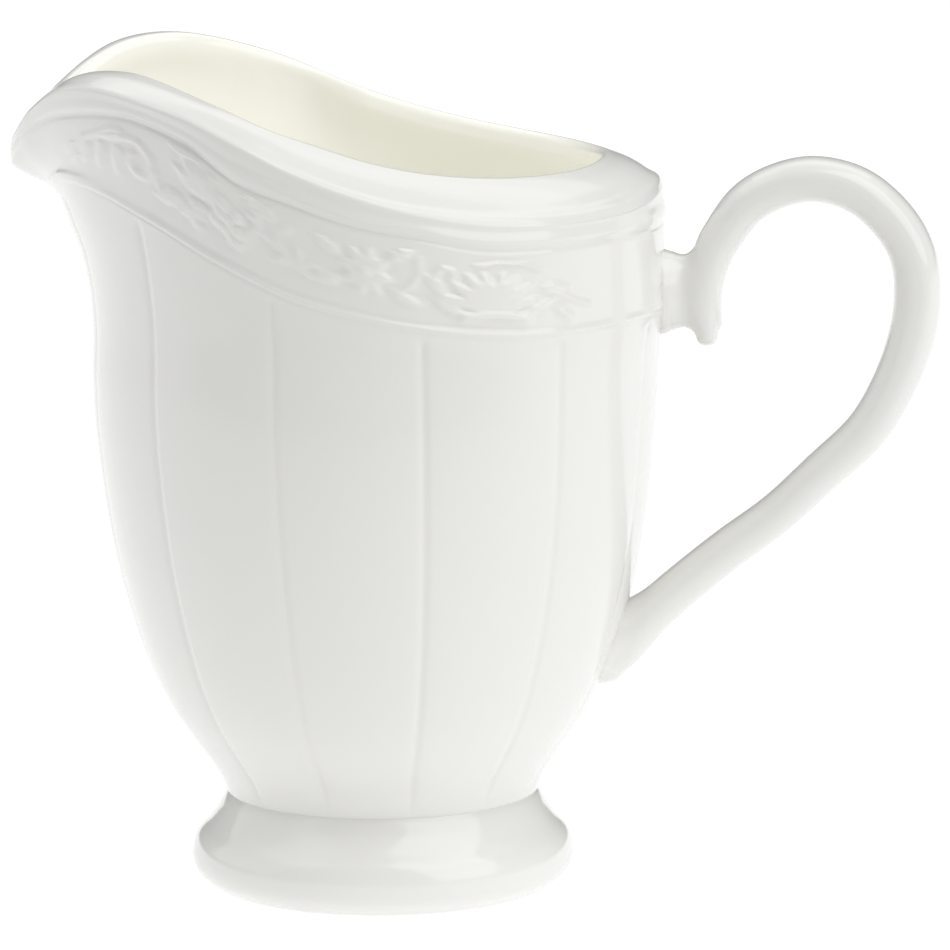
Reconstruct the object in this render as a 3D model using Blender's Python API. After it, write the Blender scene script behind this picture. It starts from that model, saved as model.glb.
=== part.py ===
"""Porcelain cream jug: fluted body with a rising rim and pouring lip, pedestal foot,
C-scroll handle and the relief sprigs of the frieze. Metres, +Z up, +X towards the handle.
Each piece is its own closed solid with a 0.3 mm joint gap where slip or glaze unites them."""

import math

import bmesh
import bpy
from mathutils import Vector

MM = 0.001
AXIS_X = -12.75            # the body's axis, so that the whole jug is centred on the origin
GAP = 0.3                  # joint gap between two pieces that the firing has united
SEGMENTS = 72              # points around a ring: six for each of the twelve flutes
FLUTES = 12
FLUTE_DEPTH = 0.38
WALL = 3.1

# outer half section of the fluted bowl: radius, height
BOWL = [(19.9, 13.0), (21.4, 14.9), (23.8, 18.6), (27.0, 23.2), (29.9, 29.0), (32.2, 35.5),
        (34.1, 43.3), (35.4, 51.1), (36.2, 58.9), (36.7, 66.0)]

# heights and radii around the rim: angle from the handle in degrees, value in millimetres
MOULDING_Z = [(0, 76.6), (38, 76.9), (57, 77.6), (76, 79.2), (88, 80.8), (100, 82.7), (117, 86.6),
              (131, 89.8), (145, 91.6), (160, 91.8), (180, 91.0)]
GROOVE_Z = [(0, 87.6), (32, 87.9), (61, 88.6), (76, 90.3), (88, 91.9), (100, 94.3), (111, 97.2),
            (122, 101.2), (135, 104.0), (150, 102.6), (165, 98.0), (180, 94.6)]
SHOULDER_Z = [(0, 93.0), (26, 93.0), (57, 93.4), (76, 94.9), (88, 96.7), (100, 99.3), (111, 102.6),
              (122, 106.0), (139, 108.4), (151, 107.0), (162, 103.0), (173, 98.6), (180, 97.4)]
EDGE_Z = [(0, 96.4), (30, 95.9), (58, 96.2), (80, 97.8), (100, 101.0), (118, 105.0), (137, 108.9),
          (150, 109.2), (160, 106.4), (170, 102.2), (180, 100.2)]
MOULDING_R = [(0, 37.0), (110, 37.1), (140, 37.9), (165, 39.6), (180, 40.4)]
GROOVE_R = [(0, 36.7), (100, 36.8), (120, 38.2), (140, 40.4), (160, 43.4), (180, 45.4)]
SHOULDER_R = [(0, 36.9), (95, 37.0), (111, 38.3), (128, 40.9), (145, 43.0), (160, 45.2), (180, 47.8)]
EDGE_R = [(0, 29.2), (95, 29.3), (110, 31.2), (125, 34.4), (142, 37.4), (158, 40.8), (170, 43.4), (180, 44.6)]

# foot section: radius, height, all round the ring from the neck down and back up inside
FOOT = [(18.2, 12.7), (19.8, 12.7), (20.3, 11.4), (21.5, 10.0), (23.2, 8.1), (24.4, 6.2), (24.8, 4.4),
        (24.5, 2.4), (23.4, 0.8), (21.8, 0.0), (19.6, 0.0), (18.8, 0.9), (18.3, 3.0), (16.6, 6.4),
        (12.0, 8.6), (0.0, 9.2)]

# centre line of the handle strap: along X from the body's axis, height, thickness, width
STRAP = [(43.4, 72.6, 2.6, 6.0), (42.9, 75.4, 4.4, 7.2), (43.0, 80.0, 5.0, 7.8), (44.4, 85.2, 5.3, 8.0),
         (47.3, 89.7, 5.5, 8.2), (51.6, 92.8, 5.7, 8.3), (56.8, 93.9, 5.7, 8.4), (62.6, 92.4, 5.7, 8.4),
         (67.2, 88.6, 5.8, 8.4), (69.8, 84.0, 5.8, 8.4), (70.4, 79.0, 5.8, 8.4), (69.4, 73.0, 5.8, 8.4),
         (66.6, 66.6, 5.8, 8.4), (62.4, 60.6, 5.8, 8.4), (57.0, 54.8, 5.7, 8.4), (51.0, 49.4, 5.6, 8.5),
         (45.2, 44.2, 5.6, 8.8), (39.8, 39.2, 6.2, 9.6), (35.0, 34.6, 8.2, 11.0), (30.6, 31.0, 11.4, 12.6),
         (26.0, 28.6, 13.0, 13.4)]
BRIDGE = [(33.0, 78.8, 11.6, 9.0), (37.0, 78.8, 10.4, 8.4), (40.0, 78.8, 9.6, 7.8), (43.2, 79.2, 9.4, 7.0)]

# relief sprigs: name, centre angle, half span in degrees, kind
SPRIGS = [("shell_leaf_sprig", 60.0, 17.0, "shell"), ("flower_sprig", 86.0, 6.6, "flower"),
          ("fruit_sprig", 118.0, 9.0, "fruit"), ("curled_leaf_sprig", 140.0, 9.0, "leaf")]


def clear_scene():
    for item in list(bpy.data.objects):
        bpy.data.objects.remove(item, do_unlink=True)


def smooth_value(table, angle):
    """Cubic reading of an angle table, flat at both ends and mirrored across the XZ plane."""
    angle = abs((angle + 180.0) % 360.0 - 180.0)
    last = len(table) - 1
    for i in range(last):
        a0, v0 = table[i]
        a1, v1 = table[i + 1]
        if angle <= a1:
            break
    m0 = 0.0 if i == 0 else (v1 - table[i - 1][1]) / (a1 - table[i - 1][0])
    m1 = 0.0 if i + 1 == last else (table[i + 2][1] - v0) / (table[i + 2][0] - a0)
    t = (angle - a0) / (a1 - a0)
    h = a1 - a0
    low = (2 * t ** 3 - 3 * t ** 2 + 1) * v0 + (t ** 3 - 2 * t ** 2 + t) * h * m0
    return low + (3 * t ** 2 - 2 * t ** 3) * v1 + (t ** 3 - t ** 2) * h * m1


def angles(count=SEGMENTS):
    return [360.0 * i / count for i in range(count)]


def place(radius, angle, height):
    a = math.radians(angle)
    return Vector(((AXIS_X + radius * math.cos(a)) * MM, radius * math.sin(a) * MM, height * MM))


def flute(angle):
    """0 on the crown of a flute, 1 in the crease between two flutes."""
    wave = abs(math.cos(math.radians(FLUTES / 2.0 * angle)))
    return (1.0 - wave) ** 1.6


def add_loop(bm, points):
    verts = [bm.verts.new(p) for p in points]
    return [bm.edges.new((verts[i], verts[(i + 1) % len(verts)])) for i in range(len(verts))]


def bridge(bm, loops):
    for low, high in zip(loops, loops[1:]):
        bmesh.ops.bridge_loops(bm, edges=low + high)


def cap(bm, loop):
    bmesh.ops.holes_fill(bm, edges=loop, sides=0)


def finish(name, bm, colour, roughness):
    bmesh.ops.recalc_face_normals(bm, faces=bm.faces)
    if bm.calc_volume(signed=True) < 0.0:
        bmesh.ops.reverse_faces(bm, faces=bm.faces)
    mesh = bpy.data.meshes.new(name)
    bm.to_mesh(mesh)
    bm.free()
    item = bpy.data.objects.new(name, mesh)
    bpy.context.scene.collection.objects.link(item)
    item.data.materials.append(glaze(name + "_glaze", colour, roughness))
    return item


def glaze(name, colour, roughness):
    material = bpy.data.materials.new(name)
    material.use_nodes = True
    shader = material.node_tree.nodes["Principled BSDF"]
    shader.inputs["Base Color"].default_value = (*colour, 1.0)
    shader.inputs["Roughness"].default_value = roughness
    shader.inputs["IOR"].default_value = 1.5
    shader.inputs["Coat Weight"].default_value = 0.6
    return material


def mix(a, b, t):
    return a + (b - a) * t


def rim_point(angle, level):
    """Radius and height of the outer skin above the bowl; level is a named line."""
    mz = smooth_value(MOULDING_Z, angle)
    mr = smooth_value(MOULDING_R, angle)
    gz = smooth_value(GROOVE_Z, angle)
    gr = smooth_value(GROOVE_R, angle)
    sz = smooth_value(SHOULDER_Z, angle)
    sr = smooth_value(SHOULDER_R, angle)
    ez = smooth_value(EDGE_Z, angle)
    er = smooth_value(EDGE_R, angle)
    side = sz - gz
    lines = {
        "under": (mr, mz - 1.1),
        "moulding": (mr + 0.55, mz - 0.1),
        "over": (mr - 0.05, mz + 0.9),
        "frieze": (mix(mr, gr, 0.5) - 0.1, mix(mz, gz, 0.52)),
        "groove": (gr - 0.35, gz - 0.1),
        "bead": (gr + 0.55, gz + 0.22 * side),
        "side": (mix(gr, sr, 0.6) + 0.1, gz + 0.5 * side),
        "shoulder": (sr, gz + 0.8 * side),
        "crest": (sr - 0.7, gz + 1.0 * side),
        "top": (mix(sr - 0.7, er, 0.5), mix(sz, ez, 0.5) + 0.25),
        "edge": (er + 0.6, ez),
        "lip": (er, ez - 0.7),
        "throat": (er + 0.25, ez - 2.4),
    }
    return lines[level]


def bowl_ring(radius, height, depth):
    return [place(radius - depth * flute(a), a, height) for a in angles()]


def blend_ring(part):
    """Ring between the last level bowl ring and the rising moulding."""
    points = []
    for a in angles():
        r1, z1 = rim_point(a, "under")
        r = mix(BOWL[-1][0], r1, part * part)
        z = mix(BOWL[-1][1], z1, part)
        points.append(place(r - FLUTE_DEPTH * flute(a) * (1.0 - 0.25 * part), a, z))
    return points


def rim_ring(level):
    return [place(*(lambda rz: (rz[0], a, rz[1]))(rim_point(a, level))) for a in angles()]


def inner_ring(part):
    """Ring of the inside face, from the throat at 0 down to the level bowl at 1."""
    points = []
    for a in angles():
        r0, z0 = rim_point(a, "throat")
        r1, z1 = rim_point(a, "frieze")
        r1 -= WALL
        if part < 0.5:
            t = part * 2.0
            points.append(place(mix(r0, r1, math.sin(t * math.pi / 2.0)), a, mix(z0, z1, t)))
        else:
            t = part * 2.0 - 1.0
            points.append(place(mix(r1, BOWL[-1][0] - WALL, t), a, mix(z1, BOWL[-1][1], t)))
    return points


def build_body():
    bm = bmesh.new()
    rings = []
    for i, (radius, height) in enumerate(BOWL):
        depth = FLUTE_DEPTH * min(1.0, 0.35 + 0.2 * i)
        rings.append(bowl_ring(radius, height, depth))
    rings += [blend_ring(t) for t in (0.35, 0.7)]
    for level in ("under", "moulding", "over", "frieze", "groove", "bead", "side", "shoulder",
                  "crest", "top", "edge", "lip", "throat"):
        rings.append(rim_ring(level))
    rings += [inner_ring(t) for t in (0.25, 0.5, 0.75, 1.0)]
    for radius, height in reversed(BOWL[3:-1]):
        rings.append([place(radius - WALL, a, height + 0.6) for a in angles()])
    for radius, height in ((19.0, 19.6), (12.0, 17.2), (5.0, 16.6)):
        rings.append([place(radius, a, height) for a in angles()])
    loops = [add_loop(bm, ring) for ring in rings]
    bridge(bm, loops)
    cap(bm, loops[0])
    cap(bm, loops[-1])
    return finish("body", bm, (0.86, 0.85, 0.80), 0.12)


def build_foot():
    bm = bmesh.new()
    around = [360.0 * i / 48 for i in range(48)]
    rings = [[place(r, a, z) for a in around] for r, z in FOOT[:-1]]
    loops = [add_loop(bm, ring) for ring in rings]
    bridge(bm, loops)
    cap(bm, loops[0])
    cap(bm, loops[-1])
    return finish("foot", bm, (0.85, 0.84, 0.79), 0.14)


def section(centre, along, thickness, width, count=16):
    """Rounded strap section across the path; both directions lie in or across the XZ plane."""
    outward = Vector((along.z, 0.0, -along.x))
    points = []
    for i in range(count):
        a = 2.0 * math.pi * (i + 0.5) / count
        c = math.copysign(abs(math.cos(a)) ** 0.72, math.cos(a))
        s = math.copysign(abs(math.sin(a)) ** 0.72, math.sin(a))
        offset = outward * (c * thickness / 2.0) + Vector((0.0, s * width / 2.0, 0.0))
        points.append(centre + offset * MM)
    return points


def refine(path, steps):
    """Extra stations between the given ones, on a smooth curve through them."""
    stations = []
    for i in range(len(path) - 1):
        p0 = path[max(i - 1, 0)]
        p1 = path[i]
        p2 = path[i + 1]
        p3 = path[min(i + 2, len(path) - 1)]
        for k in range(steps):
            t = k / steps
            stations.append(tuple(
                0.5 * (2 * b + (c - a) * t + (2 * a - 5 * b + 4 * c - d) * t * t
                       + (3 * b - a - 3 * c + d) * t ** 3)
                for a, b, c, d in zip(p0, p1, p2, p3)))
    stations.append(path[-1])
    return stations


def sweep(name, path, steps=1):
    bm = bmesh.new()
    path = refine(path, steps)
    loops = []
    centres = [Vector(((AXIS_X + x) * MM, 0.0, z * MM)) for x, z, t, w in path]
    for i, (x, z, thickness, width) in enumerate(path):
        before = centres[max(i - 1, 0)]
        after = centres[min(i + 1, len(path) - 1)]
        along = (after - before).normalized()
        loops.append(add_loop(bm, section(centres[i], along, thickness, width)))
    bridge(bm, loops)
    cap(bm, loops[0])
    cap(bm, loops[-1])
    return finish(name, bm, (0.86, 0.85, 0.80), 0.12)


def cutter_shape():
    """Outside of the body grown by the joint gap, closed flat above and below."""
    bm = bmesh.new()
    rings = [[place(r + GAP + 0.05, a, z) for a in angles()] for r, z in BOWL]
    for level in ("under", "moulding", "over", "frieze", "groove", "bead", "shoulder"):
        ring = []
        for a in angles():
            r, z = rim_point(a, level)
            ring.append(place(r + GAP + 0.05, a, z))
        rings.append(ring)
    loops = [add_loop(bm, ring) for ring in rings]
    bridge(bm, loops)
    cap(bm, loops[0])
    cap(bm, loops[-1])
    return finish("body_clearance", bm, (0.5, 0.5, 0.5), 0.5)


def boolean(item, other, operation):
    step = item.modifiers.new(operation.lower(), "BOOLEAN")
    step.object = other
    step.operation = operation
    step.solver = "EXACT"
    other.hide_render = True
    other.display_type = "WIRE"


def build_handle():
    handle = sweep("handle", STRAP, 2)
    bridge_piece = sweep("handle_bridge_stock", BRIDGE)
    boolean(handle, bridge_piece, "UNION")
    boolean(handle, cutter_shape(), "DIFFERENCE")
    return handle


def relief(kind, p, q):
    """Height of a sprig over its base, 0 to 1, on the unit disc."""
    reach = math.hypot(p, q)
    edge = max(0.0, 1.0 - reach ** 5)
    turn = math.atan2(q, p + 0.001)
    if kind == "shell":
        fan = math.atan2(q + 1.1, p + 0.001)
        return edge * (0.35 + 0.65 * abs(math.cos(6.0 * fan)))
    if kind == "flower":
        return edge * (0.3 + 0.5 * abs(math.cos(2.5 * turn)) + (0.4 if reach < 0.3 else 0.0))
    if kind == "fruit":
        return edge * (0.35 + 0.65 * abs(math.sin(3.4 * p + 0.6) * math.sin(3.4 * q + 0.9)))
    return edge * (0.3 + 0.7 * (1.0 - min(1.0, 1.6 * abs(q - 0.3 * math.sin(2.2 * p)))))


def outline(kind, p, q):
    """Scale that turns the round blank into the outline of the sprig."""
    turn = math.atan2(q, p + 0.001)
    if kind == "shell":
        return 0.86 + 0.14 * abs(math.cos(4.5 * turn))
    if kind == "flower":
        return 0.74 + 0.26 * abs(math.cos(2.5 * turn))
    if kind == "fruit":
        return 0.84 + 0.16 * abs(math.cos(3.5 * turn))
    return 0.72 + 0.28 * abs(math.cos(turn)) ** 3


def build_sprig(name, side, centre, span, kind):
    across = max(12, int(span))
    upward = 11
    bm = bmesh.new()
    bmesh.ops.create_grid(bm, x_segments=across, y_segments=upward, size=1.0)
    bottom = list(bm.faces)
    grown = bmesh.ops.extrude_face_region(bm, geom=bottom)
    top = {v for v in grown["geom"] if isinstance(v, bmesh.types.BMVert)}
    for v in bm.verts:
        u = v.co.x
        w = v.co.y
        p = u * math.sqrt(1.0 - 0.5 * w * w)
        q = w * math.sqrt(1.0 - 0.5 * u * u)
        scale = outline(kind, p, q)
        a = centre + span * p * scale
        f = 0.5 + 0.43 * q * scale
        r0, z0 = rim_point(a, "over")
        r1, z1 = rim_point(a, "frieze")
        r2, z2 = rim_point(a, "groove")
        r = max(mix(r0, r2, f), mix(r0, r1, f * 2.0) if f < 0.5 else mix(r1, r2, f * 2.0 - 1.0))
        lift = GAP + 0.06
        if v in top:
            lift += 0.25 + 0.8 * relief(kind, p, q)
        v.co = place(r + lift, side * a, mix(z0, z2, f))
    return finish(name, bm, (0.87, 0.86, 0.81), 0.14)


def build_sprigs():
    for name, centre, span, kind in SPRIGS:
        build_sprig("near_" + name, -1.0, centre, span, kind)
        build_sprig("far_" + name, 1.0, centre, span, kind)


clear_scene()
build_body()
build_foot()
build_handle()
build_sprigs()
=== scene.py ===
"""Porcelain cream jug: glazed skin with frieze relief, foot and handle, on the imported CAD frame."""

import math

import bmesh
import bpy
import numpy as np
from mathutils import Matrix, Vector


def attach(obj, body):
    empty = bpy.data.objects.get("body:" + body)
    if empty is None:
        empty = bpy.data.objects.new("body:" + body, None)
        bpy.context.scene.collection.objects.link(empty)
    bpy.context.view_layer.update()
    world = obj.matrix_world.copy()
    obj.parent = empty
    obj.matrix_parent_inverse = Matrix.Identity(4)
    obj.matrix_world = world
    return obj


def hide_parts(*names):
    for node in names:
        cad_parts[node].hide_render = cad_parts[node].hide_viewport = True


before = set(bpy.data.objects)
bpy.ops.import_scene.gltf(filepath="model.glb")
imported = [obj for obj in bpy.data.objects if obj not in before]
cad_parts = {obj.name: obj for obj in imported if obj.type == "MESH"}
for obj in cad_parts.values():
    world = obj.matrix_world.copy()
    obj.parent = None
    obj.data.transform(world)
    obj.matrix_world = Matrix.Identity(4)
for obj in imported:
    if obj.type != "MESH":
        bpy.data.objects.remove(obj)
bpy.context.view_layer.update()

MM = 0.001
AXIS_X = -12.70               # the bowl's axis; the frame's origin is midway between lip and handle
AROUND = 720                  # points round the jug
WALL = 3.1

# camera: degrees and millimetres
TARGET = (12.38, 0.0, 54.03)  # what it looks at, from the bowl's axis
CAMERA_AZIMUTH = -4.58
CAMERA_ELEVATION = 9.73
CAMERA_ROLL = -0.38
CAMERA_DISTANCE = 1040.0
VIEW_WIDTH = 123.5            # what the frame takes in at the target
SENSOR = 36.0

# flutes: degrees and millimetres
FLUTE_PITCH = 30.0            # twelve flutes, with a crease half a pitch off the handle's plane
PANEL_DEPTH = 0.16            # how far a panel falls from its crown to its edge
PANEL_POWER = 2.2
CREASE_DEPTH = 0.17
CREASE_WIDTH = 0.55
FLUTE_FOOT = 12.6             # height where the flutes begin

# frieze
FRIEZE_HEIGHT = 10.6          # height that the relief is drawn at; it stretches to the real one
RELIEF_SCALE = 0.8
RELIEF_EDGE = 0.5             # the relief dies out this near to the mouldings

# rolls round the rim: how far each stands out of the wall
MOULDING_SWELL = 0.21
GROOVE_CUT = 0.15
BEAD_SWELL = 0.27

# handle
SECTION_POWER = 2.4           # superellipse of the strap's section
VOXEL = 0.34                  # grain of the blank that the handle is drawn from
JOIN_WIDTH = 1.6              # rounding where strap and stub meet
FLARE_REACH = 1.2             # how far the lower root spreads on the wall
FLARE_WIDTH = 2.6             # how far off the wall it starts to spread
UPPER_ROOT = 60.0             # above this height the roots are the stub's
WALL_FACE = 36.5              # inside this distance from the axis the stub is hidden in the wall
ROOT_DEPTH = 2.0              # the roots end this deep in the wall

# studio: relative radiance
FLOOR_TONE = 0.38
GLOW = (0.10, 0.74)           # the floor's own light near the jug's front and elsewhere

# ------------------------------------------------------------------ outline tables, in millimetres
# bowl: height, radius; shift: height, how far its centre lies off the axis
BOWL = [(12.4, 20.1), (15.3, 21.5), (19.0, 24.0), (23.6, 27.15), (29.4, 29.95), (35.9, 32.15), (43.7, 34.1),
        (51.5, 35.4), (59.3, 36.25), (66.4, 36.65), (76.4, 36.1)]
SHIFT = [(0.0, 0.0), (12.4, 0.0), (19.0, -0.15), (40.0, -0.3), (110.0, -0.98)]
# round the rim: degrees from the handle, then a height (Z) or a radius (R)
MOULDING_Z = [(0, 77.1), (38, 76.95), (57, 77.2), (76, 78.7), (88, 80.35), (100, 82.4), (117, 86.95),
              (131, 91.25), (145, 94.2), (158, 94.7), (169, 92.7), (180, 90.8)]
GROOVE_Z = [(0, 87.55), (32, 87.8), (61, 88.15), (76, 90.1), (88, 91.7), (100, 94.3), (111, 96.85),
            (122, 101.5), (135, 104.1), (150, 103.55), (160, 101.8), (170, 98.4), (180, 95.2)]
SHOULDER_Z = [(0, 93.75), (26, 92.2), (57, 92.35), (76, 94.0), (88, 96.0), (100, 98.9), (111, 102.4),
              (122, 105.55), (139, 107.9), (151, 107.3), (162, 103.9), (172, 99.9), (180, 98.5)]
CREST_Z = [(0, 96.15), (30, 95.8), (58, 96.4), (80, 98.2), (100, 101.55), (118, 105.9), (137, 108.95),
           (150, 109.0), (160, 107.0), (170, 102.7), (180, 99.7)]
MOULDING_R = [(0, 37.9), (110, 36.55), (140, 39.1), (158, 40.9), (169, 41.0), (180, 40.7)]
GROOVE_R = [(0, 37.9), (100, 37.55), (120, 38.5), (140, 40.8), (160, 43.3), (170, 45.2), (180, 46.7)]
SHOULDER_R = [(0, 37.8), (95, 37.9), (111, 39.1), (128, 40.6), (145, 42.3), (160, 44.3), (170, 45.8),
              (180, 46.6)]
EDGE_R = [(0, 29.6), (95, 29.85), (110, 33.1), (125, 34.05), (142, 35.1), (158, 38.0), (170, 41.6),
          (180, 43.9)]
# degrees from the handle, share: how strong the rolls, the creases and the softening of the shoulder are
ROLLS_FADE = [(0, 1.0), (132, 1.0), (176, 0.0), (180, 0.0)]
CREASE_FADE = [(0, 0.1), (16, 0.25), (40, 1.0), (150, 1.0), (175, 0.4)]
SHOULDER_SOFT = [(0, 1.6), (30, 1.4), (70, 0.7), (110, 0.2), (180, 0.3)]
# foot: radius, height, from the neck down the outside and up the hollow
FOOT = [(0.0, 13.2), (14.0, 13.2), (19.2, 13.1), (20.1, 12.6), (20.8, 11.6), (21.5, 10.3), (22.75, 8.5),
        (24.3, 6.8), (24.9, 4.9), (24.85, 3.4), (24.2, 2.0), (22.8, 0.8), (21.6, 0.15), (20.4, 0.0),
        (19.2, 0.25), (18.5, 1.2), (18.0, 3.0), (16.4, 6.2), (12.0, 8.2), (5.0, 8.8), (0.0, 8.9)]

# centre lines of the handle strap and of the stub that ties it to the body: along X from the axis, height,
# thickness in the handle's plane, width across it
STRAP = [(42.6, 72.75, 2.9, 5.6), (42.45, 74.7, 3.7, 6.8), (42.3, 77.4, 4.4, 7.4), (42.6, 80.4, 4.9, 7.8),
         (43.35, 83.1, 5.2, 8.0), (44.55, 85.5, 5.4, 8.1), (47.75, 89.75, 5.65, 8.3),
         (52.05, 92.2, 5.75, 8.4), (56.8, 93.0, 5.8, 8.4), (62.0, 91.6, 5.9, 8.4), (66.2, 88.15, 5.95, 8.4),
         (68.85, 84.0, 6.0, 8.4), (69.75, 79.35, 6.1, 8.4), (69.2, 73.35, 6.1, 8.4),
         (66.95, 66.75, 5.85, 8.4), (63.2, 60.3, 5.6, 8.4), (57.4, 54.7, 5.4, 8.4), (51.5, 49.2, 5.3, 8.4),
         (45.25, 44.5, 5.4, 8.5), (39.85, 40.1, 5.5, 8.8), (35.4, 36.1, 5.6, 9.2), (32.0, 32.1, 5.6, 9.6),
         (30.1, 29.6, 4.5, 9.0)]
STUB = [(36.1, 78.3, 11.4, 8.8), (36.9, 78.3, 11.2, 8.6), (37.6, 78.35, 10.7, 8.1),
        (38.3, 78.35, 10.1, 7.4), (39.0, 78.35, 9.6, 6.8), (40.0, 78.35, 9.3, 6.3), (41.6, 78.4, 9.3, 6.0),
        (43.4, 78.7, 9.0, 5.4)]


def curve(table, x, flat=True):
    """Smooth reading of a table; flat ends by default."""
    a = np.array([p[0] for p in table], float)
    v = np.array([p[1] for p in table], float)
    m = np.empty_like(v)
    m[1:-1] = (v[2:] - v[:-2]) / (a[2:] - a[:-2])
    m[0] = 0.0 if flat else (v[1] - v[0]) / (a[1] - a[0])
    m[-1] = 0.0 if flat else (v[-1] - v[-2]) / (a[-1] - a[-2])
    x = np.clip(x, a[0], a[-1])
    i = np.clip(np.searchsorted(a, x, side="right") - 1, 0, len(a) - 2)
    h = a[i + 1] - a[i]
    t = (x - a[i]) / h
    low = (2 * t ** 3 - 3 * t ** 2 + 1) * v[i] + (t ** 3 - 2 * t ** 2 + t) * h * m[i]
    return low + (3 * t ** 2 - 2 * t ** 3) * v[i + 1] + (t ** 3 - t ** 2) * h * m[i + 1]


def catmull(keys, steps):
    """Rows between key rows on a smooth curve through them; steps is one number per span."""
    rows = []
    last = len(keys) - 1
    for i in range(last):
        p0, p1, p2, p3 = keys[max(i - 1, 0)], keys[i], keys[i + 1], keys[min(i + 2, last)]
        for k in range(steps[i]):
            t = k / steps[i]
            rows.append(0.5 * (2 * p1 + (p2 - p0) * t + (2 * p0 - 5 * p1 + 4 * p2 - p3) * t * t
                               + (3 * p1 - p0 - 3 * p2 + p3) * t ** 3))
    rows.append(keys[-1])
    return np.array(rows)


ANGLE = np.arange(AROUND) * 360.0 / AROUND
SIDE = np.abs((ANGLE + 180.0) % 360.0 - 180.0)      # 0 at the handle, 180 under the lip


class Meridian:
    """Key rows of radius and height round the jug, with the number of rows to the next one."""

    def __init__(self):
        self.rows = []
        self.steps = []
        self.marks = {}

    def add(self, radius, height, steps=2, mark=None):
        one = np.ones(AROUND)
        if mark:
            self.marks[mark] = sum(self.steps)
        self.rows.append(np.stack([radius * one, height * one], -1))
        self.steps.append(steps)

    def surface(self):
        return catmull(np.array(self.rows), self.steps[:-1])


def body_meridian():
    """Half section of the bowl at every angle, from its floor up the outside and down the inside."""
    mz, gz = curve(MOULDING_Z, SIDE), curve(GROOVE_Z, SIDE)
    sz, cz = curve(SHOULDER_Z, SIDE), curve(CREST_Z, SIDE)
    mr, gr = curve(MOULDING_R, SIDE), curve(GROOVE_R, SIDE)
    sr, er = curve(SHOULDER_R, SIDE), curve(EDGE_R, SIDE)
    lip = np.clip(-np.cos(np.radians(SIDE)), 0.0, 1.0) ** 2
    roll = curve(ROLLS_FADE, SIDE)
    m = Meridian()
    m.add(0.02, 12.6, 2)
    m.add(10.0, 12.5, 2)
    m.add(18.6, 12.4, 2)
    for z in (12.45, 13.4, 14.9, 16.6, 18.6, 20.8, 23.2, 26.0, 29.0, 32.2, 35.5, 39.3, 43.3, 47.2, 51.1,
              55.0, 58.9):
        m.add(curve(BOWL, np.array(z), False), z, 3)
    low = 62.0
    base = curve(BOWL, np.minimum(mz, 76.0), False)
    for t in (0.0, 0.2, 0.4, 0.58, 0.74, 0.88):
        z = low + (mz - 1.0 - low) * t
        m.add(curve(BOWL, np.minimum(z, 76.0), False) + (mr - base) * t ** (2.0 + 2.0 * lip), z, 4)
    m.add(mr - 0.02 - 0.80 * (1.0 - roll), mz - 1.0, 3)
    m.add(mr + 0.02 * roll - 0.42 * (1.0 - roll), mz - 0.5, 3)
    m.add(mr + MOULDING_SWELL * roll - 0.08 * (1.0 - roll), mz - 0.1, 3)
    m.add(mr + MOULDING_SWELL * roll + 0.20 * (1.0 - roll), mz + 0.2, 3)
    m.add(mr + 0.05 * roll + 0.80 * (1.0 - roll), mz + 0.75, 4, "frieze_low")
    for t in (0.12, 0.34, 0.56, 0.78, 0.92):
        bulge = 0.35 * (1.0 - roll) * t * (1.0 - t)
        m.add(mr + (gr - mr) * (t + bulge), mz + 0.8 + (gz - 0.7 - mz - 0.8) * t, 15)
    m.add(gr - 0.04, gz - 0.55, 3, "frieze_high")
    m.add(gr - GROOVE_CUT * roll, gz - 0.08, 3)
    m.add(gr + 0.04, gz + 0.35, 3)
    high = sz - gz
    m.add(gr + (sr - gr) * 0.20 + BEAD_SWELL * roll + 0.10 * (1.0 - roll), gz + np.minimum(1.2, 0.22 * high), 3)
    m.add(gr + (sr - gr) * 0.40 + 0.20 * roll + 0.12 * (1.0 - roll), gz + np.minimum(2.0, 0.36 * high), 3)
    m.add(gr + (sr - gr) * 0.60 + 0.02 + 0.08 * (1.0 - roll), gz + np.minimum(3.0, 0.52 * high), 3)
    m.add(gr + (sr - gr) * 0.82 - 0.02, gz + 0.66 * high, 3)
    soft = curve(SHOULDER_SOFT, SIDE)
    top_r, top_z = sr - 1.00 - 0.55 * soft, sz + 0.26
    m.add(sr - 0.05 - 0.04 * soft, sz - 0.55 - 0.65 * soft, 3)
    m.add(sr - 0.36 - 0.12 * soft, sz - 0.10 - 0.25 * soft, 3)
    m.add(top_r, top_z, 3)
    for t in (0.2, 0.45, 0.75):
        arch = 0.35 * np.sin(np.pi * t)
        m.add(top_r + (er + 1.5 - top_r) * t, top_z + (cz - 0.03 - top_z) * t + arch, 4)
    m.add(er + 1.2, cz, 3, "crest")
    m.add(er + 0.55, cz - 0.16, 3)
    m.add(er + 0.12, cz - 0.72, 3)
    m.add(er, cz - 1.6, 3)
    m.add(er + 0.25, cz - 2.9, 4)
    inner_z = (mz + gz) * 0.5
    inner_r = (mr + gr) * 0.5 - WALL
    m.add(er * 0.45 + inner_r * 0.55 + 0.4, cz * 0.5 + inner_z * 0.5 - 0.9, 5)
    m.add(inner_r, inner_z - 1.0, 5)
    m.add(mr - WALL, mz - 2.0, 6)
    m.add((mr + 36.6) * 0.5 - WALL, (mz + 66.0) * 0.5, 6)
    for z in (62.0, 51.1, 43.3, 35.5, 29.0, 23.2):
        m.add(curve(BOWL, np.array(z), False) - WALL, z + 0.5, 4)
    m.add(19.0, 19.4, 4)
    m.add(12.0, 17.0, 3)
    m.add(5.0, 16.4, 2)
    m.add(0.02, 16.3, 1)
    return m


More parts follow.
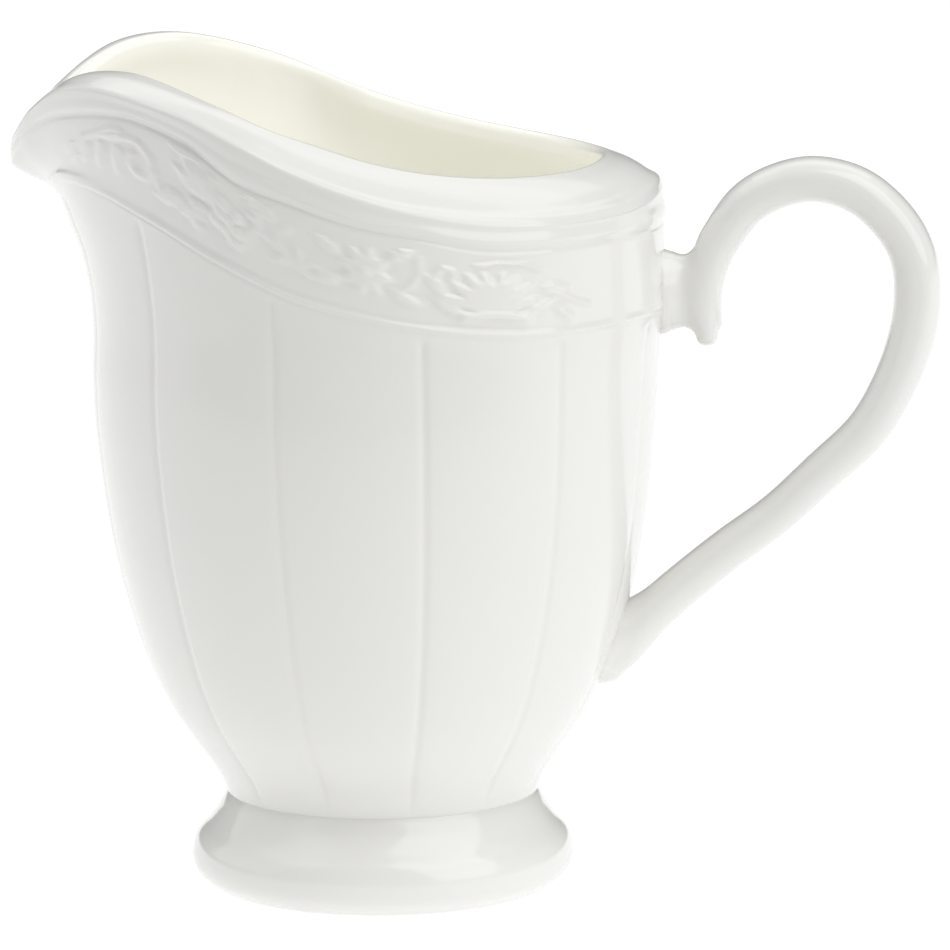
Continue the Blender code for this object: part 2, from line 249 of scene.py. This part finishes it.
def to_xyz(rows):
    """Rows of radius and height, as points in the frame."""
    a = np.radians(ANGLE)
    x = rows[..., 0] * np.cos(a) + curve(SHIFT, rows[..., 1]) + AXIS_X
    return np.stack([x, rows[..., 0] * np.sin(a), rows[..., 1]], -1)


def normals(grid):
    """Outward normals of a ring grid whose rows run up the outside."""
    along = np.roll(grid, -1, 1) - np.roll(grid, 1, 1)
    up = np.gradient(grid, axis=0)
    n = np.cross(along, up)
    return n / np.maximum(np.linalg.norm(n, axis=-1, keepdims=True), 1e-9)


# ---------------------------------------------- relief, drawn in millimetres on the unrolled frieze
def leaf(s, h, at, turn, length, width, height, bend=0.0, lobes=0):
    """A veined leaf that starts at a point and grows along a direction, bending as it goes."""
    a = math.radians(turn)
    u = (s - at[0]) * math.cos(a) + (h - at[1]) * math.sin(a)
    v = -(s - at[0]) * math.sin(a) + (h - at[1]) * math.cos(a)
    t = np.clip(u / length, 0.0, 1.0)
    v = v - bend * length * t ** 2
    half = width * np.sin(np.pi * t ** 0.8) ** 0.75
    if lobes:
        half = half * (0.78 + 0.22 * np.cos(2.0 * np.pi * lobes * t))
    q = np.abs(v) / np.maximum(half, 1e-4)
    body = np.sqrt(np.clip(1.0 - q ** 2.4, 0.0, 1.0))
    vein = 1.0 - 0.45 * np.exp(-(v / 0.16) ** 2)
    return height * body * vein * np.where((u > 0.0) & (u < length), 1.0, 0.0)


def berry(s, h, at, radius, height):
    """Half a ball."""
    q = np.hypot(s - at[0], h - at[1]) / radius
    return height * np.sqrt(np.clip(1.0 - q * q, 0.0, 1.0))


def stem(s, h, points, width, height):
    """Round cord along a line of points."""
    best = np.full(np.broadcast(s, h).shape, 1e9)
    for (x0, y0), (x1, y1) in zip(points, points[1:]):
        dx, dy = x1 - x0, y1 - y0
        t = np.clip(((s - x0) * dx + (h - y0) * dy) / (dx * dx + dy * dy), 0.0, 1.0)
        best = np.minimum(best, np.hypot(s - x0 - dx * t, h - y0 - dy * t))
    return height * np.sqrt(np.clip(1.0 - (best / width) ** 2, 0.0, 1.0))


def curl(s, h, at, radius, width, height, start, sweep, shrink=0.45):
    """A tendril that winds inwards from its outer end."""
    points = []
    for k in range(15):
        t = k / 14.0
        a = math.radians(start + sweep * t)
        r = radius * (1.0 - (1.0 - shrink) * t)
        points.append((at[0] + r * math.cos(a), at[1] + r * math.sin(a)))
    return stem(s, h, points, width, height)


def fan_cluster(s, h):
    """Leaf fan towards the handle, rising from a rolled leaf at its foot."""
    parts = []
    for turn, length, width in ((158, 7.0, 0.85), (137, 6.6, 0.95), (116, 6.2, 1.0), (97, 6.0, 1.0),
                                (78, 6.2, 1.0), (58, 6.8, 1.0), (37, 7.4, 0.95), (17, 8.2, 0.85)):
        parts.append(leaf(s, h, (-19.6, 2.5), turn, length, width, 0.62, 0.10 if turn > 90 else -0.10))
    for x, y, turn, length in ((-23.4, 2.2, 168, 5.2), (-15.6, 2.0, 10, 5.0)):
        parts.append(leaf(s, h, (x, y), turn, length, 1.0, 0.6, -0.18 if turn > 90 else 0.18, 3))
    parts.append(stem(s, h, [(-24.2, 1.5), (-21.5, 2.1), (-18.5, 2.15), (-15.4, 1.5)], 0.75, 0.75))
    parts.append(leaf(s, h, (-27.8, 3.4), 205, 5.8, 0.9, 0.55, 0.28, 3))
    parts.append(leaf(s, h, (-26.4, 5.6), 172, 4.6, 0.7, 0.5, 0.2))
    parts.append(stem(s, h, [(-26.8, 5.2), (-29.6, 4.6), (-32.2, 3.2), (-34.4, 2.7)], 0.3, 0.4))
    parts.append(stem(s, h, [(-17.0, 8.9), (-20.0, 9.5), (-23.6, 9.3), (-26.0, 8.2)], 0.28, 0.42))
    parts.append(curl(s, h, (-13.2, 6.9), 1.5, 0.32, 0.45, -60, 300))
    parts.append(leaf(s, h, (-13.0, 4.6), 25, 3.6, 0.8, 0.5, 0.2))
    return parts


def flower_cluster(s, h):
    """Open flower with long petals and the leaves beside it."""
    parts = []
    for k in range(8):
        turn = 360.0 / 8 * k + 12.0
        parts.append(leaf(s, h, (-2.6, 5.7), turn, 3.5, 0.92, 0.62))
    parts.append(berry(s, h, (-2.6, 5.7), 1.05, 0.95))
    parts.append(leaf(s, h, (0.6, 6.9), 38, 4.0, 0.95, 0.55, -0.2, 3))
    parts.append(leaf(s, h, (0.6, 4.2), -28, 4.2, 0.95, 0.55, 0.2, 3))
    parts.append(leaf(s, h, (-5.4, 7.6), 140, 4.0, 0.95, 0.55, 0.2, 3))
    parts.append(leaf(s, h, (-5.6, 4.0), 212, 4.6, 0.95, 0.55, -0.2, 3))
    parts.append(stem(s, h, [(-6.2, 3.4), (-8.4, 4.6), (-9.6, 6.6), (-9.4, 8.8)], 0.28, 0.42))
    parts.append(curl(s, h, (4.4, 3.6), 1.3, 0.3, 0.42, 200, -300))
    return parts


def spray_cluster(s, h):
    """Thin stems with a few small leaves between the flower and the fruit."""
    parts = [stem(s, h, [(4.2, 3.0), (6.6, 3.6), (9.0, 5.4), (11.6, 6.4), (14.0, 5.2)], 0.3, 0.42),
             stem(s, h, [(9.0, 5.4), (9.0, 7.6), (10.0, 9.2)], 0.24, 0.36)]
    for x, y, turn, length in ((6.0, 3.6, 80, 2.8), (7.6, 4.3, -28, 2.6), (9.0, 7.2, 150, 2.4),
                               (9.2, 8.4, 30, 2.2), (11.4, 6.5, 75, 2.6), (12.2, 6.2, -50, 2.8)):
        parts.append(leaf(s, h, (x, y), turn, length, 0.62, 0.42))
    parts.append(berry(s, h, (10.2, 9.6), 0.5, 0.5))
    return parts


def fruit_cluster(s, h):
    """Fruit among leaves under the rise of the rim."""
    parts = []
    for x, y in ((14.6, 6.6), (15.9, 5.5), (14.7, 4.6), (16.6, 7.2), (17.4, 5.9), (16.6, 4.2), (15.3, 3.1),
                 (18.3, 4.6)):
        parts.append(berry(s, h, (x, y), 0.95, 0.85))
    for turn, length in ((150, 4.4), (118, 4.6), (86, 4.4), (54, 4.6), (22, 4.6)):
        parts.append(leaf(s, h, (20.6, 6.2), turn, length, 1.0, 0.66, 0.08, 2))
    parts.append(leaf(s, h, (20.2, 5.4), -48, 4.6, 1.35, 0.7, 0.18, 3))
    parts.append(leaf(s, h, (22.0, 5.2), -92, 4.2, 1.1, 0.62, -0.15, 3))
    parts.append(leaf(s, h, (24.0, 4.6), -30, 4.6, 1.25, 0.7, 0.2, 3))
    parts.append(leaf(s, h, (24.8, 10.4), 182, 4.8, 0.75, 0.7, -0.12))
    parts.append(curl(s, h, (12.4, 8.6), 1.7, 0.3, 0.45, 60, 260))
    parts.append(stem(s, h, [(12.4, 10.2), (11.6, 8.0), (12.6, 5.2), (13.6, 3.4)], 0.3, 0.42))
    return parts


def scroll_cluster(s, h):
    """Curled leaf that fills the frieze up to the pouring lip."""
    parts = [stem(s, h, [(27.6, 4.4), (28.4, 7.2), (30.6, 8.8), (33.2, 8.6)], 0.45, 0.45),
             curl(s, h, (30.8, 6.2), 2.4, 0.5, 0.5, 150, 250),
             leaf(s, h, (32.6, 9.3), -3, 5.4, 1.0, 0.55, -0.12),
             stem(s, h, [(34.0, 8.4), (37.4, 8.6), (40.4, 7.8), (42.6, 6.4)], 0.6, 0.4)]
    for x, y, turn, length, bend in ((34.2, 7.6, -98, 4.6, 0.25), (37.0, 7.7, -86, 4.6, 0.25),
                                     (39.6, 7.0, -72, 4.2, 0.22)):
        parts.append(leaf(s, h, (x, y), turn, length, 1.25, 0.45, bend))
    parts.append(leaf(s, h, (42.4, 6.4), -14, 4.0, 1.0, 0.4, -0.2))
    parts.append(leaf(s, h, (42.0, 4.6), -34, 3.4, 0.9, 0.35, -0.1))
    return parts


def blur(field, passes):
    """Softens a field on the ring grid."""
    for _ in range(passes):
        field = (np.roll(field, 1, 1) + np.roll(field, -1, 1) + 2.0 * field) / 4.0
        padded = np.concatenate([field[:1], field, field[-1:]])
        field = (padded[:-2] + padded[2:] + 2.0 * field) / 4.0
    return field


def frieze_relief(grid, marks):
    """Height of the relief over the frieze wall, zero everywhere else."""
    lo, hi = marks["frieze_low"], marks["frieze_high"]
    mid = grid[(lo + hi) // 2]
    step = np.linalg.norm(np.roll(mid, -1, 0) - mid, axis=1)
    quarter = AROUND // 4
    track = np.concatenate([[0.0], np.cumsum(step)[:-1]])
    track = track - track[quarter]
    mirror = (AROUND - np.arange(AROUND)) % AROUND
    s = np.where(ANGLE <= 180.0, track, track[mirror])[None, :]
    rise = np.linalg.norm(np.diff(grid[lo:hi + 1], axis=0), axis=-1)
    h = np.concatenate([np.zeros((1, AROUND)), np.cumsum(rise, 0)])
    h = h * FRIEZE_HEIGHT / h[-1:]
    field = np.zeros(np.broadcast(s, h).shape)
    for cluster in (fan_cluster, flower_cluster, spray_cluster, fruit_cluster, scroll_cluster):
        for part in cluster(s, h):
            field = np.maximum(field, part)
    low_edge = np.clip(h / RELIEF_EDGE, 0.0, 1.0)
    high_edge = np.clip((FRIEZE_HEIGHT - h) / RELIEF_EDGE, 0.0, 1.0)
    field = RELIEF_SCALE * blur(field * (low_edge * high_edge * curve(ROLLS_FADE, SIDE)), 3)
    out = np.zeros(grid.shape[:2])
    out[lo:hi + 1] = field
    return out


def flutes(grid, marks):
    """Shallow convex panels with a narrow soft crease between them."""
    z = grid[..., 2]
    crown = FLUTE_PITCH / 2.0
    lobe = np.abs(ANGLE % FLUTE_PITCH - crown)                   # 0 in the crease, half a pitch on the crown
    arc = np.radians(lobe)[None, :] * np.hypot(grid[..., 0] - AXIS_X, grid[..., 1])
    panel = -PANEL_DEPTH * (1.0 - lobe / crown)[None, :] ** PANEL_POWER
    crease = -CREASE_DEPTH * np.exp(-(arc / CREASE_WIDTH) ** 2)
    top = curve(MOULDING_Z, SIDE)[None, :]
    fade = np.clip((z - FLUTE_FOOT) / 3.5, 0.0, 1.0) * np.clip((top - 0.9 - z) / 1.2, 0.0, 1.0)
    outside = np.zeros(grid.shape[:2])
    outside[:marks["frieze_low"]] = 1.0
    return (panel + crease * curve(CREASE_FADE, SIDE)) * fade * outside


# ------------------------------------------------------------------ meshes
def mesh_object(name, grid):
    """Closed skin from a ring grid in millimetres, smooth shaded."""
    rows, count = grid.shape[:2]
    verts = grid.reshape(-1, 3) * MM
    r = np.arange(rows - 1)[:, None] * count
    c = np.arange(count)[None, :]
    n = (c + 1) % count
    quads = np.stack([r + c, r + n, r + count + n, r + count + c], -1).reshape(-1, 4)
    faces = quads.tolist()
    faces.append(list(range(count))[::-1])
    faces.append([(rows - 1) * count + k for k in range(count)])
    mesh = bpy.data.meshes.new(name)
    mesh.from_pydata(verts.tolist(), [], faces)
    mesh.validate()
    mesh.polygons.foreach_set("use_smooth", [True] * len(mesh.polygons))
    item = bpy.data.objects.new(name, mesh)
    bpy.context.scene.collection.objects.link(item)
    return item


def build_body():
    """The bowl with its relief, and its radius against height on the handle's side."""
    m = body_meridian()
    rows = m.surface()
    grid = to_xyz(rows)
    n = normals(grid)
    lift = frieze_relief(grid, m.marks) + flutes(grid, m.marks)
    outline = rows[sum(m.steps[:3]):m.marks["crest"], 0]
    item = mesh_object("glazed_body", grid + n * lift[..., None])
    # mask of the bowl's inside, where the glaze is painted lighter and given a painted glow
    inside = np.zeros(grid.shape[:2])
    inside[m.marks["crest"]:] = 1.0
    mark = item.data.attributes.new("inside", "FLOAT", "POINT")
    mark.data.foreach_set("value", blur(inside, 8).reshape(-1))
    return item, outline


def build_foot():
    ring = np.ones(AROUND)
    keys = np.array([np.stack([ring * max(r, 0.02), ring * z], -1) for r, z in FOOT])
    grid = to_xyz(catmull(keys, [3] * (len(keys) - 1)))
    return mesh_object("glazed_foot", grid[::-1][:, ::2])


# ------------------------------------------------------------------ handle
class Rod:
    """A bar of oval section along a smooth centre line in the handle's plane."""

    def __init__(self, path, blunt=False):
        self.rows = catmull(np.array(path, float)[:, None, :], [8] * (len(path) - 1))[:, 0, :]
        along = np.gradient(self.rows[:, :2], axis=0)
        self.along = along / np.linalg.norm(along, axis=1, keepdims=True)
        self.blunt = blunt

    def mesh_rings(self, count=36):
        """Rings of points along the bar, with rounded ends unless it is blunt."""
        a = 2.0 * np.pi * (np.arange(count) + 0.5) / count
        power = 2.0 / SECTION_POWER
        c = np.sign(np.cos(a)) * np.abs(np.cos(a)) ** power
        s = np.sign(np.sin(a)) * np.abs(np.sin(a)) ** power
        rings = [self.ring(k, 0.0, 1.0, c, s) for k in range(len(self.rows))]
        if self.blunt:
            return rings
        caps = [(math.sin(t), math.cos(t)) for t in (0.4, 0.8, 1.15, 1.4)]
        first = [self.ring(0, -out, scale, c, s) for out, scale in reversed(caps)]
        return first + rings + [self.ring(-1, out, scale, c, s) for out, scale in caps]

    def ring(self, k, out, scale, c, s):
        """Section number k, moved along the bar by a share of its half thickness and scaled."""
        x, z, thick, wide = self.rows[k]
        dx, dz = self.along[k]
        x, z = x + dx * out * thick / 2.0, z + dz * out * thick / 2.0
        thick, wide = thick * scale, wide * scale
        return np.stack([x + dz * c * thick / 2.0, s * wide / 2.0, z - dx * c * thick / 2.0], -1)

    def spot(self, points):
        """Nearest span of the centre line for each point."""
        a, b = self.rows[:-1, :2], self.rows[1:, :2]
        d = b - a
        best = np.full(len(points), 1e18)
        span = np.zeros(len(points), int)
        for k in range(len(a)):
            px, pz = points[:, 0] - a[k, 0], points[:, 2] - a[k, 1]
            t = np.clip((px * d[k, 0] + pz * d[k, 1]) / (d[k] @ d[k]), 0.0, 1.0)
            far = (px - t * d[k, 0]) ** 2 + (pz - t * d[k, 1]) ** 2
            closer = far < best
            best[closer] = far[closer]
            span[closer] = k
        return span

    def gap(self, points, span):
        """Signed distance to the bar's skin, negative inside."""
        a, b = self.rows[span], self.rows[span + 1]
        d = b[:, :2] - a[:, :2]
        px, pz = points[:, 0] - a[:, 0], points[:, 2] - a[:, 1]
        t = np.clip((px * d[:, 0] + pz * d[:, 1]) / (d * d).sum(1), 0.0, 1.0)[:, None]
        at = a + (b - a) * t
        along = self.along[span] * (1.0 - t) + self.along[span + 1] * t
        along /= np.linalg.norm(along, axis=1, keepdims=True)
        qx, qz = points[:, 0] - at[:, 0], points[:, 2] - at[:, 1]
        u = qx * along[:, 1] - qz * along[:, 0]
        w = qx * along[:, 0] + qz * along[:, 1]
        w = w * ((t[:, 0] <= 0.0) | (t[:, 0] >= 1.0))
        v = points[:, 1]
        power = SECTION_POWER
        ends = 0.0 if self.blunt else np.abs(2.0 * w / at[:, 2]) ** power
        flat = np.abs(2.0 * u / at[:, 2]) ** power + np.abs(2.0 * v / at[:, 3]) ** power
        gauge = np.maximum((flat + ends) ** (1.0 / power), 1e-6)
        if self.blunt:
            return np.maximum(np.hypot(u, v) * (1.0 - 1.0 / gauge), np.abs(w) - 0.01)
        return np.sqrt(u * u + v * v + w * w) * (1.0 - 1.0 / gauge)


def melt(a, b, width):
    """Smooth union of two distances."""
    h = np.clip(width - np.abs(a - b), 0.0, None) / width
    return np.minimum(a, b) - h * h * width / 4.0


def handle_gap(points, rods, spans):
    """Signed distance to strap and stub, melted together."""
    return melt(rods[0].gap(points, spans[0]), rods[1].gap(points, spans[1]), JOIN_WIDTH)


def handle_slope(points, rods, spans):
    """That distance and the direction in which it grows."""
    step = 0.02
    base = handle_gap(points, rods, spans)
    slope = np.empty_like(points)
    for k in range(3):
        moved = points.copy()
        moved[:, k] += step
        slope[:, k] = (handle_gap(moved, rods, spans) - base) / step
    return base, slope


def body_gap(points, outline):
    """Distance outside the body on the handle's side; outline is its radius against height."""
    radius = np.interp(points[:, 2], outline[:, 1], outline[:, 0])
    lean = np.interp(points[:, 2], outline[:, 1], np.gradient(outline[:, 0], outline[:, 1]))
    out = np.hypot(points[:, 0] - curve(SHIFT, points[:, 2]), points[:, 1]) - radius
    return out / np.sqrt(1.0 + lean ** 2)


def fused_blank(rods, voxel):
    """One closed skin round both bars, roughly in place."""
    bm = bmesh.new()
    for rod in rods:
        loops = [[bm.verts.new(Vector(p) * MM) for p in ring] for ring in rod.mesh_rings()]
        count = len(loops[0])
        for low, high in zip(loops, loops[1:]):
            for k in range(count):
                n = (k + 1) % count
                bm.faces.new((low[k], low[n], high[n], high[k]))
        bm.faces.new(loops[0][::-1])
        bm.faces.new(loops[-1])
    bmesh.ops.recalc_face_normals(bm, faces=bm.faces)
    mesh = bpy.data.meshes.new("handle_blank")
    bm.to_mesh(mesh)
    bm.free()
    item = bpy.data.objects.new("glazed_handle", mesh)
    bpy.context.scene.collection.objects.link(item)
    step = item.modifiers.new("fuse", "REMESH")
    step.mode = "VOXEL"
    step.voxel_size = voxel * MM
    fused = bpy.data.meshes.new_from_object(item.evaluated_get(bpy.context.evaluated_depsgraph_get()))
    item.modifiers.clear()
    item.data = fused
    return item


def around(values, a, b, count):
    """Sum of the neighbours' values at each vertex."""
    return np.stack([np.bincount(a, v[b], count) + np.bincount(b, v[a], count) for v in values.T], -1)


def refine_near(mesh, chosen):
    """Splits the faces whose corners are all chosen."""
    bm = bmesh.new()
    bm.from_mesh(mesh)
    bm.verts.ensure_lookup_table()
    edges = [e for e in bm.edges if chosen[e.verts[0].index] and chosen[e.verts[1].index]]
    bmesh.ops.subdivide_edges(bm, edges=edges, cuts=1, use_grid_fill=True)
    bm.to_mesh(mesh)
    bm.free()


def build_handle(outline):
    """Strap and stub as one skin, its lower root flared on the wall."""
    rods = [Rod(STRAP), Rod(STUB, blunt=True)]
    item = fused_blank(rods, VOXEL)
    for level in range(2):
        mesh = item.data
        count = len(mesh.vertices)
        co = np.empty(count * 3)
        mesh.vertices.foreach_get("co", co)
        co = co.reshape(-1, 3) / MM
        edges = np.empty(len(mesh.edges) * 2, int)
        mesh.edges.foreach_get("vertices", edges)
        a, b = edges.reshape(-1, 2).T
        degree = np.bincount(a, minlength=count) + np.bincount(b, minlength=count)
        keep = ((co[:, 0] > WALL_FACE) | (co[:, 2] < UPPER_ROOT))[:, None]
        for turn in range(6 - 3 * level):
            if turn < 5 - 3 * level:
                for _ in range(2):
                    co = co + 0.5 * (around(co, a, b, count) / degree[:, None] - co)
            if turn % 3 == 0:
                spans = [rod.spot(co) for rod in rods]
            for _ in range(2):
                base, slope = handle_slope(co, rods, spans)
                move = slope * (base / np.maximum((slope ** 2).sum(1), 0.25))[:, None]
                size = np.linalg.norm(move, axis=1, keepdims=True)
                co = co - move * keep * np.minimum(1.0, 0.6 / np.maximum(size, 1e-9))
        if level == 0:
            mesh.vertices.foreach_set("co", (co * MM).reshape(-1))
            gap = body_gap(co, outline)
            refine_near(mesh, (gap < FLARE_WIDTH) & (gap > -1.6))
    base, slope = handle_slope(co, rods, spans)
    outward = slope / np.maximum(np.linalg.norm(slope, axis=1, keepdims=True), 1e-9)
    near = np.clip(body_gap(co, outline) / FLARE_WIDTH, -0.17, 1.0)
    reach = np.where(co[:, 2] > UPPER_ROOT, 0.0, FLARE_REACH * (1.0 - near) ** 3)   # STUB has its own flare
    co = co + outward * reach[:, None]
    deep = np.clip(-body_gap(co, outline) - ROOT_DEPTH, 0.0, None) * 1.25
    across = co[:, 0] - curve(SHIFT, co[:, 2])
    length = np.hypot(across, co[:, 1])
    co[:, 0] += deep * across / length
    co[:, 1] += deep * co[:, 1] / length
    co[:, 0] += AXIS_X
    mesh.vertices.foreach_set("co", (co * MM).reshape(-1))
    mesh.update()
    mesh.polygons.foreach_set("use_smooth", [True] * len(mesh.polygons))
    return item


# ------------------------------------------------------------------ materials
def add_noise(tree, source, scale, detail):
    noise = tree.nodes.new("ShaderNodeTexNoise")
    noise.inputs["Scale"].default_value = scale
    noise.inputs["Detail"].default_value = detail
    tree.links.new(source, noise.inputs["Vector"])
    return noise.outputs["Fac"]


def add_mix(tree, factor, low, high):
    """Mix of two colours; the lower one may be another node's output."""
    mix = tree.nodes.new("ShaderNodeMix")
    mix.data_type = "RGBA"
    tree.links.new(factor, mix.inputs["Factor"])
    if isinstance(low, tuple):
        mix.inputs["A"].default_value = low
    else:
        tree.links.new(low, mix.inputs["A"])
    mix.inputs["B"].default_value = high
    return mix.outputs["Result"]


def add_ramp(tree, source, span, ends, kind="LINEAR"):
    ramp = tree.nodes.new("ShaderNodeMapRange")
    ramp.interpolation_type = kind
    ramp.inputs["From Min"].default_value, ramp.inputs["From Max"].default_value = span
    ramp.inputs["To Min"].default_value, ramp.inputs["To Max"].default_value = ends
    tree.links.new(source, ramp.inputs["Value"])
    return ramp.outputs["Result"]


def porcelain(name):
    """Cream-white glaze; inside the bowl its colour is painted lighter and creamier and it carries a painted
    glow, standing in for the light that the thin wall lets through.
    """
    material = bpy.data.materials.new(name)
    material.use_nodes = True
    tree = material.node_tree
    shader = tree.nodes["Principled BSDF"]
    place = tree.nodes.new("ShaderNodeTexCoord").outputs["Object"]
    bump = tree.nodes.new("ShaderNodeBump")
    bump.inputs["Strength"].default_value = 0.05
    bump.inputs["Distance"].default_value = 0.0004
    tree.links.new(add_noise(tree, place, 95.0, 2.0), bump.inputs["Height"])
    tree.links.new(bump.outputs["Normal"], shader.inputs["Normal"])
    cloud = add_noise(tree, place, 38.0, 3.0)
    painted_inside_mask = tree.nodes.new("ShaderNodeAttribute")
    painted_inside_mask.attribute_name = "inside"
    painted_inside_mask = painted_inside_mask.outputs["Fac"]
    tint = add_mix(tree, cloud, (0.838, 0.834, 0.806, 1.0), (0.856, 0.852, 0.828, 1.0))
    # painted light: the bowl's inside gets a lighter, creamier base colour and a painted glow, standing in for
    # light let through the thin wall
    cream = add_mix(tree, painted_inside_mask, tint, (0.935, 0.930, 0.872, 1.0))
    through = add_mix(tree, painted_inside_mask, (0.0, 0.0, 0.0, 1.0), (1.0, 0.985, 0.87, 1.0))
    tree.links.new(cream, shader.inputs["Base Color"])
    tree.links.new(through, shader.inputs["Emission Color"])
    tree.links.new(add_ramp(tree, cloud, (0.0, 1.0), (0.16, 0.24)), shader.inputs["Roughness"])
    # the emission here is the painted glow inside the bowl
    for socket, value in (("Emission Strength", 0.10), ("IOR", 1.5), ("Specular IOR Level", 0.25),
                          ("Coat Weight", 0.7), ("Coat Roughness", 0.035), ("Coat IOR", 1.5)):
        shader.inputs[socket].default_value = value
    return material


def wear(item, material):
    item.data.materials.clear()
    item.data.materials.append(material)


# ------------------------------------------------------------------ stage, lights and camera
def floor_paper():
    """Matt paper that glows behind the jug and well in front of it, so that it stays white to its edges."""
    material = bpy.data.materials.new("floor_paper")
    material.use_nodes = True
    tree = material.node_tree
    shader = tree.nodes["Principled BSDF"]
    shader.inputs["Base Color"].default_value = (FLOOR_TONE, FLOOR_TONE, FLOOR_TONE, 1.0)
    shader.inputs["Roughness"].default_value = 0.9
    shader.inputs["Specular IOR Level"].default_value = 0.0
    shader.inputs["Emission Color"].default_value = (1.0, 1.0, 1.0, 1.0)
    split = tree.nodes.new("ShaderNodeSeparateXYZ")
    tree.links.new(tree.nodes.new("ShaderNodeTexCoord").outputs["Object"], split.inputs["Vector"])
    both = tree.nodes.new("ShaderNodeMath")
    both.operation = "MAXIMUM"
    for slot, span in enumerate(((-0.40, -0.05), (-0.90, -1.80))):
        glow = add_ramp(tree, split.outputs["Y"], span, GLOW, "SMOOTHSTEP")
        tree.links.new(glow, both.inputs[slot])
    tree.links.new(both.outputs["Value"], shader.inputs["Emission Strength"])
    return material


def build_floor():
    mesh = bpy.data.meshes.new("floor")
    mesh.from_pydata([(-6, -6, 0), (6, -6, 0), (6, 6, 0), (-6, 6, 0)], [], [(0, 1, 2, 3)])
    item = bpy.data.objects.new("floor", mesh)
    bpy.context.scene.collection.objects.link(item)
    item.location.z = -0.0001
    wear(item, floor_paper())


def area_light(name, place, aim, size, power):
    data = bpy.data.lights.new(name, "AREA")
    data.shape = "RECTANGLE"
    data.size, data.size_y = size
    data.energy = power
    item = bpy.data.objects.new(name, data)
    item.location = place
    item.rotation_euler = (Vector(aim) - Vector(place)).to_track_quat("-Z", "Y").to_euler()
    bpy.context.scene.collection.objects.link(item)


def build_lights():
    world = bpy.data.worlds.new("studio")
    bpy.context.scene.world = world
    world.use_nodes = True
    sky = world.node_tree.nodes["Background"]
    sky.inputs["Color"].default_value = (1.0, 1.0, 1.0, 1.0)
    sky.inputs["Strength"].default_value = 0.26
    softbox("key_right", 61.0, 0.95, 1.1, (1.25, 2.0), 1.6)
    softbox("wall_left", -88.0, 0.85, 1.1, (1.6, 1.7), 0.62)
    area_light("top", (0.0, 0.0, 1.5), (0.0, 0.0, 0.05), (3.0, 2.4), 9.5)
    area_light("front_top", (-0.2, -0.9, 1.1), (0.0, 0.0, 0.06), (2.6, 1.3), 1.2)
    area_light("backdrop", (0.0, 0.9, 1.2), (0.0, 0.7, 0.0), (1.6, 1.0), 3.0)


def softbox(name, bearing, height, distance, size, radiance):
    """Panel at a bearing off the camera's side, positive to the right, facing the jug."""
    a = math.radians(bearing + CAMERA_AZIMUTH)
    place = (distance * math.sin(a), -distance * math.cos(a), height)
    area_light(name, place, (0.0, 0.0, 0.06), size, radiance * math.pi * size[0] * size[1])


def build_camera():
    data = bpy.data.cameras.new("camera")
    data.sensor_width = SENSOR
    data.lens = CAMERA_DISTANCE / VIEW_WIDTH * SENSOR
    data.clip_start = 0.05
    data.clip_end = 20.0
    a, e = math.radians(CAMERA_AZIMUTH), math.radians(CAMERA_ELEVATION)
    back = Vector((-math.sin(a) * math.cos(e), -math.cos(a) * math.cos(e), math.sin(e)))
    target = Vector((TARGET[0] + AXIS_X, TARGET[1], TARGET[2])) * MM
    item = bpy.data.objects.new("camera", data)
    item.location = target + back * CAMERA_DISTANCE * MM
    level = Vector((0.0, 0.0, 1.0)).cross(back).normalized()
    turn = Matrix.Rotation(math.radians(CAMERA_ROLL), 3, back)
    right = turn @ level
    item.rotation_euler = Matrix((right, back.cross(right), back)).transposed().to_euler()
    bpy.context.scene.collection.objects.link(item)
    bpy.context.scene.camera = item


build_camera()
build_lights()
build_floor()
clay = porcelain("glazed_porcelain_look")
body, outline = build_body()
foot = build_foot()
handle = build_handle(outline)
sprigs = [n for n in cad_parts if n.endswith("sprig")]
for piece, nodes in ((body, ["body"] + sorted(sprigs)), (foot, ["foot"]), (handle, ["handle"])):
    wear(piece, clay)
    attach(piece, "root")
    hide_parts(*nodes)

bpy.context.scene.view_settings.view_transform = "Standard"
